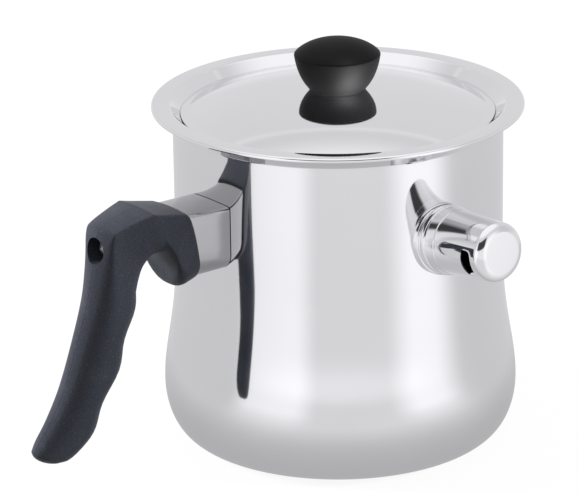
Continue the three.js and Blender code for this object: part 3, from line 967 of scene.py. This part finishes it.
def guardRings():  # from the wall to the grip's collar, and back inside
    v = guard
    near = wallSection
    far = drawnIn(gripStations[0], v["tuck"], -v["gap"])
    far["ridge"] = near["ridge"]
    nearIn, farIn = drawnIn(near, v["sheet"]), drawnIn(far, v["sheet"])
    rings = [wallRing(sectionRing(near), sectionRing(far), v["embed"])]
    rings += [bowed(sectionRing(mixShape(near, far, share)), share) for share in v["outside"]]
    rings += [edgeRing(far, v["edge"], turn, 1) for turn in v["edgeTurns"]]
    rings += [bowed(sectionRing(mixShape(nearIn, farIn, share)), share) for share in v["inside"]]
    rings.append(wallRing(sectionRing(nearIn), sectionRing(farIn), v["embed"]))
    return rings


flameGuard = loftedPiece("flameGuard", guardRings(), shadedGuardSteel, handlePlace, looped=True)
settle(flameGuard, "pot", "polished_steel", "flame_guard")
leastGap = 1e-4


def throughPoints(points, share):  # a centripetal curve through the points
    last = len(points) - 1
    spot = share * last
    i = min(int(spot), last - 1)
    local = spot - i
    near = [points[k] if 0 <= k <= last else None for k in range(i - 1, i + 3)]
    near[0] = near[0] or near[1] * 2 - near[2]
    near[3] = near[3] or near[2] * 2 - near[1]
    gaps = [max((b - a).length ** 0.5, leastGap) for a, b in zip(near, near[1:])]
    first = ((near[1] - near[0]) / gaps[0] - (near[2] - near[0]) / (gaps[0] + gaps[1])
             + (near[2] - near[1]) / gaps[1]) * gaps[1]
    second = ((near[2] - near[1]) / gaps[1] - (near[3] - near[1]) / (gaps[1] + gaps[2])
              + (near[3] - near[2]) / gaps[2]) * gaps[1]
    square, cube = local ** 2, local ** 3
    return (
        near[1] * (2 * cube - 3 * square + 1)
        + first * (cube - 2 * square + local)
        + near[2] * (3 * square - 2 * cube)
        + second * (cube - square)
    )


def gripShape(share):
    v = grip
    low = throughPoints([Vector((*at["inner"], at["half"])) for at in gripStations], share)
    high = throughPoints([Vector((*at["outer"], at["crown"])) for at in gripStations], share)
    rest = throughPoints([Vector((at["corner"], at["ridge"], 0)) for at in gripStations], share)
    down = v["fingerStart"] - low.y
    fade = min(1, (1 - share) * v["fingerFade"])
    wave = v["fingerDepth"] * math.sin(2 * math.pi * down / v["fingerPitch"]) * fade if down > 0 else 0
    return {
        "inner": (low.x - wave, low.y), "outer": (high.x, high.y), "half": low.z, "crown": high.z,
        "corner": rest.x, "ridge": rest.y,
    }


def ringMiddle(ring):
    return sum((Vector(point) for point in ring), Vector()) / len(ring)


def shrunk(ring, share, shift):
    middle = ringMiddle(ring)
    return [tuple(middle + (Vector(point) - middle) * share + shift) for point in ring]


def gripRings():
    v = grip
    count = (len(gripStations) - 1) * v["steps"]
    rings = [edgeRing(gripShape(0), v["edge"], turn, -1) for turn in v["edgeTurns"]]
    for i in range(1, count + 1):
        bow = max(0, 1 - i / (v["bowStations"] * v["steps"]))
        rings.append(bowed(sectionRing(gripShape(i / count)), bow))
    last = rings[-1]
    along = (ringMiddle(last) - ringMiddle(rings[-2])).normalized()
    for k in range(1, v["tipSteps"] + 1):  # a dome that takes up the taper of the last rings
        turn = v["tipTurn"] + (math.pi / 2 - v["tipTurn"]) * k / (v["tipSteps"] + v["tipLeft"])
        on = v["tip"] * (math.sin(turn) - math.sin(v["tipTurn"])) / (1 - math.sin(v["tipTurn"]))
        rings.append(shrunk(last, math.cos(turn) / math.cos(v["tipTurn"]), along * on))
    return rings


screwPlace = handlePlace @ Matrix.Rotation(math.pi / 2, 4, "Y")
handleGrip = loftedPiece("handleGrip", gripRings(), gripMoulding, handlePlace)
cutAway(
    handleGrip,
    barCutter(grip["well"], grip["seat"], grip["seat"] + grip["wellReach"], screwPlace),
    barCutter(grip["bore"], grip["boreStart"], grip["seat"] + grip["boreReach"], screwPlace),
)
settle(handleGrip, "pot", "moulding", "handle_grip")


# screws: a domed head with a cross recess

handleScrew = {
    "seat": 52.7, "head": 4.3, "headHeight": 3, "radius": 2.5, "tip": 3.5,
    "slot": 1.1, "slotLength": 5, "slotDepth": 1.8,
}
knobScrew = {
    "seat": 0, "head": 4.2, "headHeight": 2.4, "radius": 2, "tip": -9.6, "washer": 0.8,
    "slot": 1, "slotLength": 4.6, "slotDepth": 1.5,
}
screwForm = {
    "tipFillet": 0.6, "neckFillet": 0.2, "footFillet": 0.25, "rimShare": 0.45, "rimFillet": 0.6,
    "crownShare": 0.6, "crownDrop": 0.15, "crownFillet": 1.5, "steps": 5, "sides": 64,
    "slotTurn": 24, "slotFloor": 0.6, "slotMouth": 1.25, "slotPast": 1,
}


def domedScrew(name, v, place):
    form = screwForm
    top = v["seat"] + v["headHeight"]
    line = rounded([
        (0, v["tip"]),
        (v["radius"], v["tip"], form["tipFillet"]),
        (v["radius"], v["seat"], form["neckFillet"]),
        (v["head"], v["seat"], form["footFillet"]),
        (v["head"], v["seat"] + v["headHeight"] * form["rimShare"], form["rimFillet"]),
        (v["head"] * form["crownShare"], top - form["crownDrop"], form["crownFillet"]),
        (0, top),
    ], form["steps"])
    piece = turnedPiece(name, line, fastenerSteel, form["sides"], place)
    levels = ((top - v["slotDepth"], form["slotFloor"]), (top + form["slotPast"], form["slotMouth"]))
    for turn in (0, math.pi / 2):
        spin = place @ Matrix.Rotation(turn + math.radians(form["slotTurn"]), 4, "Z")
        rings = []
        for height, share in levels:
            wide, deep = v["slotLength"] / 2 * share, v["slot"] / 2 * share
            corners = ((wide, deep), (-wide, deep), (-wide, -deep), (wide, -deep))
            rings.append([(x, y, height) for x, y in corners])
        cutAway(piece, loftedPiece("slotCutter", rings, paintedShadeSteel, spin))
    return piece


gripScrew = domedScrew("gripScrew", handleScrew, screwPlace)
settle(gripScrew, "pot", "plain_steel", "handle_screw")
washerUnder = Matrix.Translation((0, 0, (lid["under"] - knobScrew["washer"]) * mm))
lidScrew = domedScrew("lidScrew", knobScrew, washerUnder @ Matrix.Rotation(math.pi, 4, "X"))
settle(lidScrew, "lid", "plain_steel", "knob_screw")

# the jet disc, inside the whistle cap, takes the near-black finish as painted shade
keptNodes = {
    "handle_bracket": satinSteel, "bracket_nut": fastenerSteel, "screw_washer": fastenerSteel,
    "knob_washer": fastenerSteel, "whistle_jet_disc": paintedShadeSteel, "knob_insert": brassBush,
}
for name, finish in keptNodes.items():
    nodes[name].data.materials.clear()
    nodes[name].data.materials.append(finish)
print("kept nodes finished:", len(keptNodes))


# studio

camera = {
    "from": (-0.964185, -1.149071, 0.62824), "at": (-0.016805, 0.013692, 0.081832), "roll": 0.836,
    "lens": 229.68, "sensor": 36, "clip": (0.05, 50),
}
toCamera = Vector((*camera["from"][:2], 0)).normalized()
toRight = Vector((-toCamera.y, toCamera.x, 0))
white = (1, 1, 1, 1)
coolWhite = (0.985, 0.985, 1, 1)
studio = {  # turns are degrees from the camera, rises are sines; a span is centre, half width, softness
    "front": 0.82, "frontSpan": (10, 62, 22), "sides": 0.7, "horizon": 0.16, "horizonSpan": (0, 0.2, 0.12),
    "back": 0.8, "backTurn": (100, 130), "backRise": (0, 0.2),
    "panels": ((-40, 20, 8, 0.28), (54, 17, 11, 0.34)), "panelRise": (0.7, 0.3),  # each with its lift
    "flagTurn": (0, 34, 6), "flagRise": (0.42, 0.21, 0.04), "flagDepth": 0.93,  # dark, behind the camera
    "ceiling": 0.77, "ceilingFrom": 0.667, "ceilingSoft": 0.012, "ceilingLine": 0.09,
    "ceilingLift": 0.36, "liftRise": (0.7, 0.9),
    "ambient": 0.1, "skyLight": 0.4, "skyRise": (-0.2, 0.9), "leftLight": 0.3, "leftReach": (-0.5, 1),
}


def turnFromCamera(tree, way):
    ahead = tree.dot(way, toCamera)
    return ahead.maths("ARCTAN2", tree.dot(way, toRight), ahead) * (180 / math.pi)


def studioLevel(tree, turn):
    return studio["sides"] + (studio["front"] - studio["sides"]) * tree.window(turn, *studio["frontSpan"])


def panelLight(tree, turn):
    first, second = (lift * tree.window(turn, *span) for *span, lift in studio["panels"])
    return first + second


def studioTone(tree, turn, up):  # what the steel mirrors
    v = studio
    tone = studioLevel(tree, turn) + v["horizon"] * tree.window(up, *v["horizonSpan"])
    tone = tone + panelLight(tree, turn) * tree.remap(up, *v["panelRise"])
    behind = tree.remap(abs(turn), *v["backTurn"]) * tree.remap(up, *v["backRise"])
    tone = tone + (v["back"] - tone) * behind
    flag = v["flagDepth"] * tree.window(turn, *v["flagTurn"]) * tree.window(up, *v["flagRise"])
    tone = tone * (1 - flag)
    start, soft = v["ceilingFrom"], v["ceilingSoft"]
    above = v["ceiling"] + v["ceilingLift"] * tree.remap(up, *v["liftRise"])
    tone = tone + (above - tone) * tree.remap(up, start - soft, start + soft)
    return tone + v["ceilingLine"] * tree.window(up, start, soft, soft)


def buildWorld():
    v = studio
    world = bpy.data.worlds.new("studio")
    world.use_nodes = True
    world.cycles.sampling_method = "NONE"
    scene.world = world
    tree = NodeTree(world.node_tree)
    ray = tree.node("ShaderNodeLightPath")
    way = tree.node("ShaderNodeTexCoord", output="Generated")
    up = tree.dot(way, (0, 0, 1))
    tone = studioTone(tree, turnFromCamera(tree, way), up)
    shown = ray.at("Is Camera Ray") + ray.at("Is Transmission Ray")
    mirrored = ray.at("Is Glossy Ray")
    leftwards = tree.remap(tree.dot(way, -toRight), *v["leftReach"])
    overhead = tree.remap(up, *v["skyRise"])
    skyLight = v["ambient"] + v["skyLight"] * overhead * (1 + v["leftLight"] * leftwards)
    strength = shown + mirrored * tone * (1 - shown) + skyLight * (1 - mirrored) * (1 - shown)
    tint = tree.mixColour(mirrored * (1 - shown), white, coolWhite)
    sky = tree.node("ShaderNodeBackground", None, {"Color": tint, "Strength": strength})
    tree.node("ShaderNodeOutputWorld", None, {"Surface": sky})


# as the steel mirrors it, the floor glows at levels that paint a contact shadow near the pot, pools of the
# panels' light and a brighter sheen far off
floor = {
    "size": 6, "under": 0.0003, "tone": (0.9, 0.9, 0.9, 1), "glow": 1, "shadow": 0.1,
    "mottle": 3, "fibre": 0.02, "near": 0.5, "paintedShadowReach": (0.05, 0.19), "paintedPoolReach": (0.12, 0.31),
    "far": 0.16, "paintedSheenReach": (0.38, 0.85),
}


def buildFloor():
    v = floor
    material, shader, spot = newMaterial("paleFloor")
    ray = shader.node("ShaderNodeLightPath")
    fibre = shader.noise(spot, v["mottle"]) * v["fibre"]
    paper = shader.node("ShaderNodeBsdfDiffuse", None, {"Color": v["tone"], "Roughness": fibre})
    glow = shader.node("ShaderNodeEmission", None, {"Color": white, "Strength": v["glow"]})
    seen = shader.mixShader(ray.at("Is Camera Ray") * (1 - v["shadow"]), paper, glow)
    turn = turnFromCamera(shader, spot)
    away = shader.dot(spot, spot) ** 0.5
    # painted contact shadow: darker near the pot, rising to the studio level further out
    level = v["near"] + (studioLevel(shader, turn) - v["near"]) * shader.remap(away, *v["paintedShadowReach"])
    # painted pools of the panels' light on the floor
    level = level + panelLight(shader, turn) * shader.remap(away, *v["paintedPoolReach"])
    # painted brighter sheen far off
    level = level + v["far"] * shader.remap(away, *v["paintedSheenReach"])
    mirrored = shader.node("ShaderNodeEmission", None, {"Color": coolWhite, "Strength": level})
    mixed = shader.mixShader(ray.at("Is Glossy Ray"), seen, mirrored)
    behind = shader.node("ShaderNodeNewGeometry", output="Backfacing")
    oneSided = shader.mixShader(behind, mixed, shader.node("ShaderNodeBsdfTransparent"))  # clear from below
    shader.node("ShaderNodeOutputMaterial", None, {"Surface": oneSided})
    half = v["size"] / 2
    mesh = bpy.data.meshes.new("studioFloor")
    corners = [(x * half, y * half, -v["under"]) for x, y in ((-1, -1), (1, -1), (1, 1), (-1, 1))]
    mesh.from_pydata(corners, [], [(0, 1, 2, 3)])
    mesh.materials.append(material)
    plane = bpy.data.objects.new("studioFloor", mesh)
    plane.visible_diffuse = False
    scene.collection.objects.link(plane)


lamps = {  # turn from the camera, height and distance, size, power
    "keyLamp": (-98, 0.6, 1.35, 0.6, 34),
    "fillLamp": (84, 0.6, 1.4, 0.6, 28),
    "topLamp": (170, 1.7, 0.4, 1.2, 4),
}
lampTarget = Vector((0, 0, 0.08))
knobLamps = {  # turn from the camera, rise, size, power
    "knobBounce": (50, -57, 0.16, 5.6),
    "knobGleam": (40, 66, 0.1, 0.5),
}
knobLampDistance = 0.25


def levelWay(turn):
    angle = math.radians(turn)
    return toCamera * math.cos(angle) + toRight * math.sin(angle)


def addLamp(name, size, power, spot, way):
    data = bpy.data.lights.new(name, "AREA")
    data.shape = "DISK"
    data.size = size
    data.energy = power
    lamp = bpy.data.objects.new(name, data)
    lamp.location = spot
    lamp.rotation_mode = "QUATERNION"
    lamp.rotation_quaternion = way.to_track_quat("-Z", "Y")
    scene.collection.objects.link(lamp)
    return lamp


def buildLamps():
    for name, (turn, height, distance, size, power) in lamps.items():
        spot = levelWay(turn) * distance + Vector((0, 0, height))
        lamp = addLamp(name, size, power, spot, lampTarget - spot)
        lamp.visible_glossy = False


def buildKnobLamps():  # the light that the lid throws up on the knob, and a gleam on its crown
    only = bpy.data.collections.new("knobOnly")
    only.objects.link(lidKnob)
    middle = Vector((0, 0, (knob["base"] + knob["side"] / 2) * mm))
    for name, (turn, rise, size, power) in knobLamps.items():
        climb = math.radians(rise)
        way = levelWay(turn) * math.cos(climb) + Vector((0, 0, math.sin(climb)))
        lamp = addLamp(name, size, power, middle + way * knobLampDistance, -way)
        lamp.data.use_shadow = False
        lamp.light_linking.receiver_collection = only


def buildCamera():
    data = bpy.data.cameras.new("photoCamera")
    data.lens = camera["lens"]
    data.sensor_width = camera["sensor"]
    data.clip_start, data.clip_end = camera["clip"]
    eye = bpy.data.objects.new("photoCamera", data)
    scene.collection.objects.link(eye)
    eye.location = camera["from"]
    look = (Vector(camera["at"]) - Vector(camera["from"])).to_track_quat("-Z", "Y")
    eye.rotation_mode = "QUATERNION"
    eye.rotation_quaternion = look @ Quaternion((0, 0, 1), -math.radians(camera["roll"]))
    scene.camera = eye


buildWorld()
buildFloor()
buildLamps()
buildKnobLamps()
buildCamera()
scene.view_settings.view_transform = "Standard"
print("studio built")
